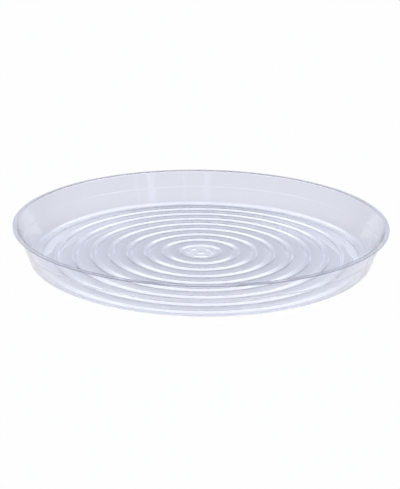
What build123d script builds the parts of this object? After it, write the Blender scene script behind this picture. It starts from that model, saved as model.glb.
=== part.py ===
from build123d import *
import math
import os

# A round plant saucer of thin clear sheet, drawn to shape over a mould in one piece.
# The frame: Z is the axis of the tray, and the face that it rests on lies at Z = 0.

# Overall sizes of the tray
RIM_DIAMETER = 354.0
OVERALL_HEIGHT = 34.4
SHEET_GAUGE = 0.8

# The rim: a narrow flat flange that turns outwards from the wall
FLANGE_WIDTH = 4.0

# The wall: it leans outwards from a soft heel, with a faint stacking ledge half way up
BASE_DIAMETER = 323.6
HEEL_BEND = 6.4
HEEL_CORNERS = 2
LEDGE_HEIGHT = 17.4
LEDGE_WIDTH = 0.8
LEDGE_RISE = 1.0

# The floor: low wide ribs pressed up from below, which share out the room between the
# plain pad in the middle and the plain land inside the wall
CENTRE_PAD_DIAMETER = 37.2
RIB_COUNT = 8
RIB_GAP = 3.3
RIB_HEIGHT = 1.5
RIB_FLANK_WIDTH = 1.9
OUTER_LAND_WIDTH = 9.7


def rib_corners():
    """The corners of all the ribs' lower skin, four to a rib, from the pad outwards."""
    pad_radius = CENTRE_PAD_DIAMETER / 2
    ribbed_width = BASE_DIAMETER / 2 - OUTER_LAND_WIDTH - pad_radius
    rib_width = (ribbed_width + RIB_GAP) / RIB_COUNT - RIB_GAP
    corners = []
    for index in range(RIB_COUNT):
        inner_foot = pad_radius + index * (rib_width + RIB_GAP)
        outer_foot = inner_foot + rib_width
        corners.append((inner_foot, 0))
        corners.append((inner_foot + RIB_FLANK_WIDTH, RIB_HEIGHT))
        corners.append((outer_foot - RIB_FLANK_WIDTH, RIB_HEIGHT))
        corners.append((outer_foot, 0))
    return corners


def heel_corners(heel_radius, turn):
    """The heel's bend from floor to wall: even corners whose flats all touch its true arc."""
    bend_start = heel_radius - HEEL_BEND * math.tan(turn / 2)
    half_step = turn / HEEL_CORNERS / 2
    reach = HEEL_BEND / math.cos(half_step)
    corners = []
    for index in range(HEEL_CORNERS):
        angle = half_step * (2 * index + 1)
        corners.append((bend_start + reach * math.sin(angle), HEEL_BEND - reach * math.cos(angle)))
    return corners


def wall_corners():
    """The corners of the wall's lower skin, from the heel over the ledge to the rim."""
    heel_radius = BASE_DIAMETER / 2
    rim_radius = RIM_DIAMETER / 2
    top_radius = rim_radius - FLANGE_WIDTH
    top_height = OVERALL_HEIGHT - SHEET_GAUGE
    lean_width = top_radius - LEDGE_WIDTH - heel_radius
    lean_height = top_height - LEDGE_RISE
    ledge_radius = heel_radius + lean_width * LEDGE_HEIGHT / lean_height
    turn = math.atan2(lean_height, lean_width)
    return heel_corners(heel_radius, turn) + [
        (ledge_radius, LEDGE_HEIGHT),
        (ledge_radius + LEDGE_WIDTH, LEDGE_HEIGHT + LEDGE_RISE),
        (top_radius, top_height),
        (rim_radius, top_height),
    ]


def sheet_section():
    """The section of the sheet from the axis to the rim, at its even gauge."""
    corners = [(0, 0)] + rib_corners() + wall_corners()
    lower_skin = Wire(Polyline(corners).edges())
    outline = lower_skin.offset_2d(SHEET_GAUGE, kind=Kind.INTERSECTION, side=Side.LEFT)
    return Plane.XZ * make_face(outline)


def saucer():
    """The whole tray: the section turned once about its axis."""
    return revolve(sheet_section(), axis=Axis.Z)


os.makedirs("parts", exist_ok=True)
export_step(saucer(), "parts/saucer.step")
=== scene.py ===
import math

import bpy
from mathutils import Matrix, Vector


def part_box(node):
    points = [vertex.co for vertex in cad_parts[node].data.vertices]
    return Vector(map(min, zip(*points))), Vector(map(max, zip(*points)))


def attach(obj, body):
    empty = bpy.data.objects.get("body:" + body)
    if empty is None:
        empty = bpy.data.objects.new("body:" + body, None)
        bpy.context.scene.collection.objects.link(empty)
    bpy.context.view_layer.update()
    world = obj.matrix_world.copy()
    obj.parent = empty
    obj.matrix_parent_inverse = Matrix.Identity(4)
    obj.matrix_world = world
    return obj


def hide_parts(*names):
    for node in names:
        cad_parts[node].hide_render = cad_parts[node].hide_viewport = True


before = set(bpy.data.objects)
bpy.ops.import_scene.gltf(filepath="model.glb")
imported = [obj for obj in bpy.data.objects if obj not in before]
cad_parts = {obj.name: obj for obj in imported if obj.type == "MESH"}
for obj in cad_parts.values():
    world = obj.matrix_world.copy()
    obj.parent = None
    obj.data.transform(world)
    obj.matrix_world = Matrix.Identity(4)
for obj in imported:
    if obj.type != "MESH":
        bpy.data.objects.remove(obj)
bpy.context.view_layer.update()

# The saucer
# One round piece of clear plastic sheet with a faint blue cast, heated and drawn over a mould,
# which gave it a plain pad in the middle, low round ribs, a soft heel, a leaning wall with a
# faint stacking ledge, and a narrow flange at the rim.

low_corner, high_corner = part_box("saucer")
rim_radius = min(high_corner.x, high_corner.y, -low_corner.x, -low_corner.y)
sheet_gauge = 0.0008
base_radius = 0.1618
pad_radius = 0.0186

saucer_sizes = {
    "Rim Radius": rim_radius,
    "Wall Top": high_corner.z - sheet_gauge,
    "Flange Width": 0.0040,
    "Flange Bend": 0.0006,
    "Base Radius": base_radius,
    "Heel Bend": 0.0064,
    "Ledge Height": 0.0174,
    "Ledge Width": 0.0008,
    "Ledge Rise": 0.0010,
    "Ledge Foot Bend": 0.0014,
    "Ledge Top Bend": 0.0022,
    "Pad Radius": pad_radius,
    "Rib Gap": 0.0033,
    "Rib Height": 0.0015,
    "Flank Width": 0.0019,
    "Crest Bend": 0.0020,
    "Foot Bend": 0.0029,
    "Outer Land": 0.0097,
    "Mark Height": 0.0006,
    "Mark Radius": 0.0112,
    "Mark Line": 0.0009,
    "Knob Radius": 0.0026,
    "Unevenness": 0.00006,
}
saucer_counts = {"Rib Count": 8, "Pad Rings": 22, "Sides": 252}
corners_to_a_rib = 4.0
corners_on_wall = 5.0
rib_bend_steps = 3.0
wall_bend_steps = (7.0, 2.0, 3.0, 5.0, 1.0)
seam_gap = 0.000002


def feed(tree, socket, value):
    """Sets a socket to a plain value, or links it where the value is another node's output."""
    if isinstance(value, bpy.types.NodeSocket):
        tree.links.new(value, socket)
    else:
        socket.default_value = value


def node_with(tree, kind, values, **settings):
    """A new node with its settings and its named inputs; gives its first output."""
    node = tree.nodes.new(kind)
    for name, value in settings.items():
        setattr(node, name, value)
    for name, value in values.items():
        feed(tree, node.inputs[name], value)
    return node.outputs[0]


def number(tree, operation, *values):
    """The result of a sum on numbers."""
    node = tree.nodes.new("ShaderNodeMath")
    node.operation = operation
    for socket, value in zip(node.inputs, values):
        feed(tree, socket, value)
    return node.outputs[0]


def soft_step(tree, value, low, high):
    """Rises smoothly from 0 to 1 as a value goes from low to high."""
    limits = {"Value": value, "From Min": low, "From Max": high}
    return node_with(tree, "ShaderNodeMapRange", limits, interpolation_type="SMOOTHSTEP")


def noise(tree, spot, scale, detail):
    """Soft noise, from 0 to 1 about a middle of one half."""
    values = {"Vector": spot, "Scale": scale, "Detail": detail}
    return node_with(tree, "ShaderNodeTexNoise", values)


def parts_of(tree, vector):
    """The X, Y and Z of a vector."""
    node = tree.nodes.new("ShaderNodeSeparateXYZ")
    feed(tree, node.inputs[0], vector)
    return node.outputs


def about_axis(tree, spot):
    """Where a spot lies about the saucer's axis: its own X, Y and Z, its heading and radius."""
    across, along, up = parts_of(tree, spot)
    level = node_with(tree, "ShaderNodeCombineXYZ", {"X": across, "Y": along})
    heading = node_with(tree, "ShaderNodeVectorMath", {"Vector": level}, operation="NORMALIZE")
    length = tree.nodes.new("ShaderNodeVectorMath")
    length.operation = "LENGTH"
    feed(tree, length.inputs[0], level)
    radius = length.outputs["Value"]
    return {"across": across, "along": along, "up": up, "heading": heading, "radius": radius}


def chosen(tree, place, values):
    """The value that stands at a place in a list."""
    node = tree.nodes.new("GeometryNodeIndexSwitch")
    node.data_type = "FLOAT"
    while len(node.index_switch_items) < len(values):
        node.index_switch_items.new()
    feed(tree, node.inputs["Index"], place)
    for socket, value in zip(node.inputs[1:], values):
        feed(tree, socket, value)
    return node.outputs[0]


def pad_corners(tree, size, index):
    """Even rings of points over the plain pad in the middle: radius, height, bend, steps."""
    share = number(tree, "DIVIDE", index, size["Pad Rings"])
    return [number(tree, "MULTIPLY", size["Pad Radius"], share), 0.0, 0.0, 1.0]


def rib_corners(tree, size, place):
    """Four corners to a rib: the ribs share out the floor between the pad and the outer land."""
    floor_radius = number(tree, "SUBTRACT", size["Base Radius"], size["Outer Land"])
    ribbed_width = number(tree, "SUBTRACT", floor_radius, size["Pad Radius"])
    with_gap = number(tree, "ADD", ribbed_width, size["Rib Gap"])
    pitch = number(tree, "DIVIDE", with_gap, size["Rib Count"])
    rib_width = number(tree, "SUBTRACT", pitch, size["Rib Gap"])
    outer_crest = number(tree, "SUBTRACT", rib_width, size["Flank Width"])

    rib = number(tree, "FLOOR", number(tree, "DIVIDE", place, corners_to_a_rib))
    corner = number(tree, "FLOORED_MODULO", place, corners_to_a_rib)
    inner_foot = number(tree, "MULTIPLY_ADD", rib, pitch, size["Pad Radius"])
    across = chosen(tree, corner, [0.0, size["Flank Width"], outer_crest, rib_width])
    height = chosen(tree, corner, [0.0, size["Rib Height"], size["Rib Height"], 0.0])
    foot, crest = size["Foot Bend"], size["Crest Bend"]
    bend = chosen(tree, corner, [foot, crest, crest, foot])
    return [number(tree, "ADD", inner_foot, across), height, bend, rib_bend_steps]


def wall_corners(tree, size, place):
    """The heel, the ledge's two corners, and the flange's bend and edge."""
    top_radius = number(tree, "SUBTRACT", size["Rim Radius"], size["Flange Width"])
    inside_ledge = number(tree, "SUBTRACT", top_radius, size["Ledge Width"])
    lean_width = number(tree, "SUBTRACT", inside_ledge, size["Base Radius"])
    lean_height = number(tree, "SUBTRACT", size["Wall Top"], size["Ledge Rise"])
    lean = number(tree, "DIVIDE", lean_width, lean_height)
    ledge_radius = number(tree, "MULTIPLY_ADD", size["Ledge Height"], lean, size["Base Radius"])
    ledge_outer = number(tree, "ADD", ledge_radius, size["Ledge Width"])
    ledge_top = number(tree, "ADD", size["Ledge Height"], size["Ledge Rise"])
    top = size["Wall Top"]
    radii = [size["Base Radius"], ledge_radius, ledge_outer, top_radius, size["Rim Radius"]]
    bend_names = ("Heel Bend", "Ledge Foot Bend", "Ledge Top Bend", "Flange Bend")
    return [
        chosen(tree, place, radii),
        chosen(tree, place, [0.0, size["Ledge Height"], ledge_top, top, top]),
        chosen(tree, place, [size[name] for name in bend_names] + [0.0]),
        chosen(tree, place, wall_bend_steps),
    ]


def section_corners(tree, size):
    """The corners of the lower skin from the axis to the rim: radius, height, bend, steps."""
    index = node_with(tree, "GeometryNodeInputIndex", {})
    rib_place = number(tree, "SUBTRACT", index, size["Pad Rings"])
    ribs_passed = number(tree, "MULTIPLY", size["Rib Count"], corners_to_a_rib)
    wall_place = number(tree, "SUBTRACT", rib_place, ribs_passed)
    on_ribs = number(tree, "GREATER_THAN", rib_place, -0.5)
    on_wall = number(tree, "GREATER_THAN", wall_place, -0.5)
    corners = []
    for pad, rib, wall in zip(
        pad_corners(tree, size, index),
        rib_corners(tree, size, rib_place),
        wall_corners(tree, size, wall_place),
    ):
        floor = {"Switch": on_ribs, "False": pad, "True": rib}
        floor = node_with(tree, "GeometryNodeSwitch", floor, input_type="FLOAT")
        whole = {"Switch": on_wall, "False": floor, "True": wall}
        corners.append(node_with(tree, "GeometryNodeSwitch", whole, input_type="FLOAT"))
    return corners


def swept_sheet(tree, size):
    """Rounds the section's corners and sweeps it once round the axis."""
    point_count = number(
        tree, "MULTIPLY_ADD", size["Rib Count"], corners_to_a_rib, size["Pad Rings"]
    )
    point_count = number(tree, "ADD", point_count, corners_on_wall)
    line = node_with(tree, "GeometryNodeMeshLine", {"Count": point_count})
    radius, height, bend, steps = section_corners(tree, size)
    sweep_radius = number(tree, "MULTIPLY", size["Rim Radius"], 0.5)
    below_sweep = number(tree, "MULTIPLY", height, -1.0)
    spot = {"X": number(tree, "SUBTRACT", radius, sweep_radius), "Y": below_sweep}
    spot = node_with(tree, "ShaderNodeCombineXYZ", spot)
    line = node_with(tree, "GeometryNodeSetPosition", {"Geometry": line, "Position": spot})
    section = node_with(tree, "GeometryNodeMeshToCurve", {"Mesh": line})
    bends = {"Curve": section, "Count": steps, "Radius": bend, "Limit Radius": True}
    section = node_with(tree, "GeometryNodeFilletCurve", bends, mode="POLY")
    circle = {"Resolution": size["Sides"], "Radius": sweep_radius}
    circle = node_with(tree, "GeometryNodeCurvePrimitiveCircle", circle)
    sheet = {"Curve": circle, "Profile Curve": section}
    sheet = node_with(tree, "GeometryNodeCurveToMesh", sheet)
    join = {"Geometry": sheet, "Distance": seam_gap}
    sheet = node_with(tree, "GeometryNodeMergeByDistance", join)
    return node_with(tree, "GeometryNodeFlipFaces", {"Mesh": sheet})


mark_arcs = 3.0
mark_foot_share = 1.5
mark_crest_share = 0.5
arc_end_waves = (-0.5, 0.0)


def lifted_mark(tree, size, sheet, at):
    """Presses a plain mark up in the pad: a ring broken in three, about a small knob."""
    line, knob_radius = size["Mark Line"], size["Knob Radius"]
    off_ring = number(tree, "SUBTRACT", at["radius"], size["Mark Radius"])
    off_ring = number(tree, "ABSOLUTE", off_ring)
    foot = number(tree, "MULTIPLY", line, mark_foot_share)
    crest = number(tree, "MULTIPLY", line, mark_crest_share)
    ring = soft_step(tree, off_ring, foot, crest)
    turn = number(tree, "ARCTAN2", at["along"], at["across"])
    wave = number(tree, "SINE", number(tree, "MULTIPLY", turn, mark_arcs))
    arcs = number(tree, "MULTIPLY", ring, soft_step(tree, wave, *arc_end_waves))
    knob = soft_step(tree, at["radius"], number(tree, "ADD", knob_radius, line), knob_radius)
    rise = number(tree, "MULTIPLY", number(tree, "MAXIMUM", arcs, knob), size["Mark Height"])
    offset = node_with(tree, "ShaderNodeCombineXYZ", {"Z": rise})
    return node_with(tree, "GeometryNodeSetPosition", {"Geometry": sheet, "Offset": offset})


swell_scale = 9.0
swell_detail = 2.0
swell_foot_shares = (0.15, 0.45)
swell_top_shares = (0.97, 0.7)


def between_heights(tree, size, up, shares):
    """Rises from 0 to 1 between two heights, given as shares of the wall's height."""
    low, high = [number(tree, "MULTIPLY", size["Wall Top"], share) for share in shares]
    return soft_step(tree, up, low, high)


def uneven_wall(tree, size, sheet, at):
    """Lets the wall swell in and out a little on its way round, as drawn sheet does."""
    waves = noise(tree, at["heading"], swell_scale, swell_detail)
    waves = number(tree, "SUBTRACT", waves, 0.5)
    rise = between_heights(tree, size, at["up"], swell_foot_shares)
    fall = between_heights(tree, size, at["up"], swell_top_shares)
    swing = number(tree, "MULTIPLY", number(tree, "MULTIPLY", rise, fall), size["Unevenness"])
    swing = {"Vector": at["heading"], "Scale": number(tree, "MULTIPLY", swing, waves)}
    offset = node_with(tree, "ShaderNodeVectorMath", swing, operation="SCALE")
    return node_with(tree, "GeometryNodeSetPosition", {"Geometry": sheet, "Offset": offset})


def saucer_tree():
    """The whole rule for the lower skin, from its named sizes to a closed round sheet."""
    tree = bpy.data.node_groups.new("Drawn Saucer", "GeometryNodeTree")
    for name in saucer_sizes:
        tree.interface.new_socket(name=name, in_out="INPUT", socket_type="NodeSocketFloat")
    for name in saucer_counts:
        tree.interface.new_socket(name=name, in_out="INPUT", socket_type="NodeSocketInt")
    tree.interface.new_socket(name="Material", in_out="INPUT", socket_type="NodeSocketMaterial")
    tree.interface.new_socket(name="Geometry", in_out="OUTPUT", socket_type="NodeSocketGeometry")
    size = tree.nodes.new("NodeGroupInput").outputs
    sheet = swept_sheet(tree, size)
    at = about_axis(tree, node_with(tree, "GeometryNodeInputPosition", {}))
    sheet = lifted_mark(tree, size, sheet, at)
    sheet = uneven_wall(tree, size, sheet, at)
    sheet = node_with(tree, "GeometryNodeRealizeInstances", {"Geometry": sheet})
    finish = {"Geometry": sheet, "Material": size["Material"]}
    finish = node_with(tree, "GeometryNodeSetMaterial", finish)
    feed(tree, tree.nodes.new("NodeGroupOutput").inputs["Geometry"], finish)
    return tree


deep_cast = (0.945, 0.957, 0.990, 1.0)
faint_cast = (0.965, 0.975, 0.995, 1.0)
wall_cast = (1.0, 1.0, 1.0, 1.0)
wall_start_shares = (0.99, 1.02)
plastic_ior = 1.55
cloud_scale = 22.0
cloud_detail = 3.0
scuff_scale = 160.0
scuff_detail = 4.0
scuff_limits = (0.5, 0.9)
scuff_roughness = 0.1
draw_line_scale = 24.0
draw_line_detail = 3.0
draw_line_tilt = 4.0
draw_line_strength = 0.5
draw_line_depth = 0.0002
pad_frost_shares = (0.92, 0.76)
pad_frost = 0.12
pad_frost_tone = (0.96, 0.97, 0.96, 1.0)
cut_edge_insets = (0.0003, 0.0001)
cut_edge_tone = (0.76, 0.73, 0.84, 1.0)
shadow_tone = (0.955, 0.957, 0.970, 1.0)


def mixed_tone(tree, share, first, second):
    """A colour that goes from the first tone to the second as a share goes from 0 to 1."""
    node = tree.nodes.new("ShaderNodeMix")
    node.data_type = "RGBA"
    feed(tree, node.inputs["Factor"], share)
    feed(tree, node.inputs["A"], first)
    feed(tree, node.inputs["B"], second)
    return node.outputs["Result"]


def mixed_shader(tree, share, first, second):
    """A mix that goes from the first shader to the second as a share goes from 0 to 1."""
    node = tree.nodes.new("ShaderNodeMixShader")
    for socket, value in zip(node.inputs, (share, first, second)):
        feed(tree, socket, value)
    return node.outputs[0]


def clear_sheet():
    """Clear sheet: faintly blue and clouded, with draw lines in the wall, a pad that is a little
    frosted, and a matt cut edge."""
    material = bpy.data.materials.new("clear sheet")
    material.use_nodes = True
    tree = material.node_tree
    tree.nodes.clear()
    spot = tree.nodes.new("ShaderNodeTexCoord").outputs["Object"]
    at = about_axis(tree, spot)

    clouds = noise(tree, spot, cloud_scale, cloud_detail)
    floor_cast = mixed_tone(tree, clouds, deep_cast, faint_cast)
    wall_limits = [base_radius * share for share in wall_start_shares]
    on_wall = soft_step(tree, at["radius"], *wall_limits)
    cast = mixed_tone(tree, on_wall, floor_cast, wall_cast)

    scuffs = noise(tree, spot, scuff_scale, scuff_detail)
    scuffs = soft_step(tree, scuffs, *scuff_limits)
    roughness = number(tree, "MULTIPLY", scuffs, scuff_roughness)

    tilt = number(tree, "MULTIPLY", at["up"], draw_line_tilt)
    tilt = node_with(tree, "ShaderNodeCombineXYZ", {"Z": tilt})
    line_spot = {0: at["heading"], 1: tilt}
    line_spot = node_with(tree, "ShaderNodeVectorMath", line_spot, operation="ADD")
    draw_lines = noise(tree, line_spot, draw_line_scale, draw_line_detail)
    draw_lines = number(tree, "MULTIPLY", draw_lines, on_wall)
    bump = {"Height": draw_lines, "Strength": draw_line_strength, "Distance": draw_line_depth}
    normal = node_with(tree, "ShaderNodeBump", bump)

    sheet = {"Base Color": cast, "Roughness": roughness, "Normal": normal}
    sheet.update({"Transmission Weight": 1.0, "IOR": plastic_ior})
    sheet = node_with(tree, "ShaderNodeBsdfPrincipled", sheet)

    edge_limits = [rim_radius - inset for inset in cut_edge_insets]
    cut_edge = soft_step(tree, at["radius"], *edge_limits)
    pad_limits = [pad_radius * share for share in pad_frost_shares]
    on_pad = soft_step(tree, at["radius"], *pad_limits)
    frost = number(tree, "MULTIPLY_ADD", on_pad, pad_frost, cut_edge)
    frost_tone = mixed_tone(tree, cut_edge, pad_frost_tone, cut_edge_tone)
    frosted = node_with(tree, "ShaderNodeBsdfDiffuse", {"Color": frost_tone})
    frosted_sheet = mixed_shader(tree, frost, sheet, frosted)

    lamp_light = node_with(tree, "ShaderNodeBsdfTransparent", {"Color": shadow_tone})
    shadow_ray = tree.nodes.new("ShaderNodeLightPath").outputs["Is Shadow Ray"]
    surface = mixed_shader(tree, shadow_ray, frosted_sheet, lamp_light)
    feed(tree, tree.nodes.new("ShaderNodeOutputMaterial").inputs["Surface"], surface)
    return material


clear_material = clear_sheet()
shell = bpy.data.objects.new("shell", bpy.data.meshes.new("shell"))
bpy.context.scene.collection.objects.link(shell)
rule = shell.modifiers.new("Drawn Saucer", "NODES")
rule.node_group = saucer_tree()
sockets = rule.node_group.interface.items_tree
for name, value in {**saucer_sizes, **saucer_counts, "Material": clear_material}.items():
    rule[sockets[name].identifier] = value
wall = shell.modifiers.new("Gauge", "SOLIDIFY")
wall.thickness = sheet_gauge
wall.offset = -1.0
wall.use_even_offset = True
wall.use_rim = True

evaluated = shell.evaluated_get(bpy.context.evaluated_depsgraph_get())
saucer_mesh = bpy.data.meshes.new_from_object(evaluated)
saucer = bpy.data.objects.new("clear_saucer", saucer_mesh)
bpy.context.scene.collection.objects.link(saucer)
bpy.data.objects.remove(shell)
sharp_turn = math.radians(40)
saucer_mesh.shade_smooth()
saucer_mesh.set_sharp_from_angle(angle=sharp_turn)

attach(saucer, "root")
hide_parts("saucer")

# The table
# A wide pale card under the saucer, lit evenly. To the camera and in reflections it is nearly pure
# white, with a trace of the shadow. Through the saucer more of its own shade and shadow shows.

table_reach = 6.0
table_drop = 0.0003
card_tone = (0.592, 0.592, 0.645, 1.0)
white_share_to_camera = 0.97
white_share_in_mirror = 1.0
white_share_through_sheet = 0.3


def pale_card():
    """Pale card that shows as even white, with a little of its real shading left in."""
    material = bpy.data.materials.new("pale card")
    material.use_nodes = True
    tree = material.node_tree
    tree.nodes.clear()
    path = tree.nodes.new("ShaderNodeLightPath").outputs
    mirrored = number(tree, "MULTIPLY", path["Is Glossy Ray"], white_share_in_mirror)
    direct = number(tree, "MULTIPLY", path["Is Camera Ray"], white_share_to_camera)
    through = number(tree, "MULTIPLY", path["Is Transmission Ray"], white_share_through_sheet)
    clear_of_sheet = number(tree, "SUBTRACT", 1.0, path["Is Transmission Ray"])
    white = number(tree, "MAXIMUM", direct, mirrored)
    white = number(tree, "MULTIPLY_ADD", white, clear_of_sheet, through)
    card = node_with(tree, "ShaderNodeBsdfDiffuse", {"Color": card_tone})
    glow = node_with(tree, "ShaderNodeEmission", {"Strength": 1.0})
    surface = mixed_shader(tree, white, card, glow)
    feed(tree, tree.nodes.new("ShaderNodeOutputMaterial").inputs["Surface"], surface)
    return material


table_mesh = bpy.data.meshes.new("table")
corner_signs = ((-1, -1), (1, -1), (1, 1), (-1, 1))
table_corners = [(x * table_reach, y * table_reach, -table_drop) for x, y in corner_signs]
table_mesh.from_pydata(table_corners, [], [(0, 1, 2, 3)])
table_mesh.materials.append(pale_card())
table = bpy.data.objects.new("table", table_mesh)
bpy.context.scene.collection.objects.link(table)

# The room's light
# A dim, faintly blue room with a bright band low down behind the saucer, four narrow windows behind
# the camera, and one wide softbox above, bright in the middle and faint at its edges. The clear
# sheet mirrors the room on its flats and the softbox on the flanks that face the camera.

room_tone = (0.90, 0.96, 1.25, 1.0)
background_tone = (1.0, 1.0, 1.0, 1.0)
room_light = 0.12
far_light = 0.08
far_limits = (0.0, 0.3)
side_light = 0.14
side_limits = (0.02, 0.12)
middle_limits = (0.85, 0.30)
horizon_light = 0.75
horizon_height_limits = (0.20, 0.05)
horizon_far_limits = (-0.3, 0.3)
window_top_limits = (0.6, 0.45)
window_edge_shares = (1.5, 0.5)
windows = (
    {"heading": 0.635, "half width": 0.045, "light": 0.7},
    {"heading": -0.07, "half width": 0.04, "light": 0.5},
    {"heading": 0.81, "half width": 0.018, "light": 0.3},
    {"heading": 0.22, "half width": 0.02, "light": 0.3},
)

world = bpy.data.worlds.new("room")
bpy.context.scene.world = world
world.use_nodes = True
room = world.node_tree
room.nodes.clear()
across, along, up = parts_of(room, room.nodes.new("ShaderNodeTexCoord").outputs["Generated"])
sideways = number(room, "ABSOLUTE", across)
middle = soft_step(room, sideways, *middle_limits)
off_centre = number(room, "MULTIPLY", soft_step(room, sideways, *side_limits), middle)
beyond = number(room, "MULTIPLY", far_light, middle)
beyond = number(room, "MULTIPLY_ADD", off_centre, side_light, beyond)
light_level = number(
    room, "MULTIPLY_ADD", beyond, soft_step(room, along, *far_limits), room_light
)

low_down = soft_step(room, up, *horizon_height_limits)
low_down = number(room, "MULTIPLY", low_down, soft_step(room, along, *horizon_far_limits))
low_down = number(room, "MULTIPLY", low_down, middle)
light_level = number(room, "MULTIPLY_ADD", low_down, horizon_light, light_level)

turn = number(room, "ARCTAN2", across, number(room, "MULTIPLY", along, -1.0))
below_window_top = soft_step(room, up, *window_top_limits)
for window in windows:
    off_window = number(room, "ABSOLUTE", number(room, "SUBTRACT", turn, window["heading"]))
    window_limits = [window["half width"] * share for share in window_edge_shares]
    pane = soft_step(room, off_window, *window_limits)
    pane = number(room, "MULTIPLY", pane, below_window_top)
    light_level = number(room, "MULTIPLY_ADD", pane, window["light"], light_level)

camera_ray = room.nodes.new("ShaderNodeLightPath").outputs["Is Camera Ray"]
backdrop = {
    "Color": mixed_tone(room, camera_ray, room_tone, background_tone),
    "Strength": number(room, "MAXIMUM", light_level, camera_ray),
}
backdrop = node_with(room, "ShaderNodeBackground", backdrop)
feed(room, room.nodes.new("ShaderNodeOutputWorld").inputs["Surface"], backdrop)

softbox_width = 5.2
softbox_depth = 4.8
softbox_middle = 1.1
softbox_height = 1.6
softbox_energy = 181.0
softbox_tone = (0.93, 0.955, 1.0)
side_fade = {"faint": 2.05, "bright": 1.0, "least": 0.13}
far_fade = {"faint": 2.6, "bright": 1.4, "least": 0.15}
near_fade = {"faint": -0.45, "bright": -0.15, "least": 0.35}


def faded(tree, distance, fade):
    """The share of its full light that the softbox has left at a distance."""
    kept = soft_step(tree, distance, fade["faint"], fade["bright"])
    return number(tree, "MULTIPLY_ADD", kept, 1.0 - fade["least"], fade["least"])


light = bpy.data.lights.new("softbox", "AREA")
light.shape = "RECTANGLE"
light.size = softbox_width
light.size_y = softbox_depth
light.energy = softbox_energy
light.color = softbox_tone
light.use_nodes = True
cloth = light.node_tree
cloth.nodes.clear()
cloth_spot = parts_of(cloth, cloth.nodes.new("ShaderNodeNewGeometry").outputs["Parametric"])
cloth_side = number(cloth, "ABSOLUTE", number(cloth, "SUBTRACT", cloth_spot[0], 0.5))
cloth_side = number(cloth, "MULTIPLY", cloth_side, softbox_width)
cloth_along = number(cloth, "SUBTRACT", cloth_spot[1], 0.5)
cloth_along = number(cloth, "MULTIPLY_ADD", cloth_along, softbox_depth, softbox_middle)
brightness = faded(cloth, cloth_side, side_fade)
brightness = number(cloth, "MULTIPLY", brightness, faded(cloth, cloth_along, far_fade))
brightness = number(cloth, "MULTIPLY", brightness, faded(cloth, cloth_along, near_fade))
cloth_glow = node_with(cloth, "ShaderNodeEmission", {"Strength": brightness})
feed(cloth, cloth.nodes.new("ShaderNodeOutputLight").inputs["Surface"], cloth_glow)
softbox = bpy.data.objects.new("softbox", light)
softbox.location = (0.0, softbox_middle, softbox_height)
bpy.context.scene.collection.objects.link(softbox)

# The camera
# It stands a little over a metre in front of the saucer, looks down at it through a short
# tele lens, and leans a little to one side.

picture_width = 400
picture_height = 489
focal_pixels = 1156.0
floor_centre_pixel = (200.75, 251.68)
sensor_width = 36.0
camera_distance = 1.1077
camera_tilt = 0.33763
camera_roll = 0.01305
floor_height = sheet_gauge + saucer_sizes["Rib Height"] / 2

lens = bpy.data.cameras.new("camera")
lens.sensor_width = sensor_width
lens.lens = focal_pixels * sensor_width / picture_height
lens.shift_x = -(floor_centre_pixel[0] - picture_width / 2) / picture_height
lens.shift_y = (floor_centre_pixel[1] - picture_height / 2) / picture_height
camera = bpy.data.objects.new("camera", lens)
back = camera_distance * math.cos(camera_tilt)
camera.location = (0.0, -back, floor_height + camera_distance * math.sin(camera_tilt))
turned = Matrix.Rotation(math.pi / 2 - camera_tilt, 4, "X") @ Matrix.Rotation(camera_roll, 4, "Z")
camera.rotation_euler = turned.to_euler()
bpy.context.scene.collection.objects.link(camera)
bpy.context.scene.camera = camera
bpy.context.scene.view_settings.view_transform = "Standard"
bpy.context.scene.cycles.use_denoising = True
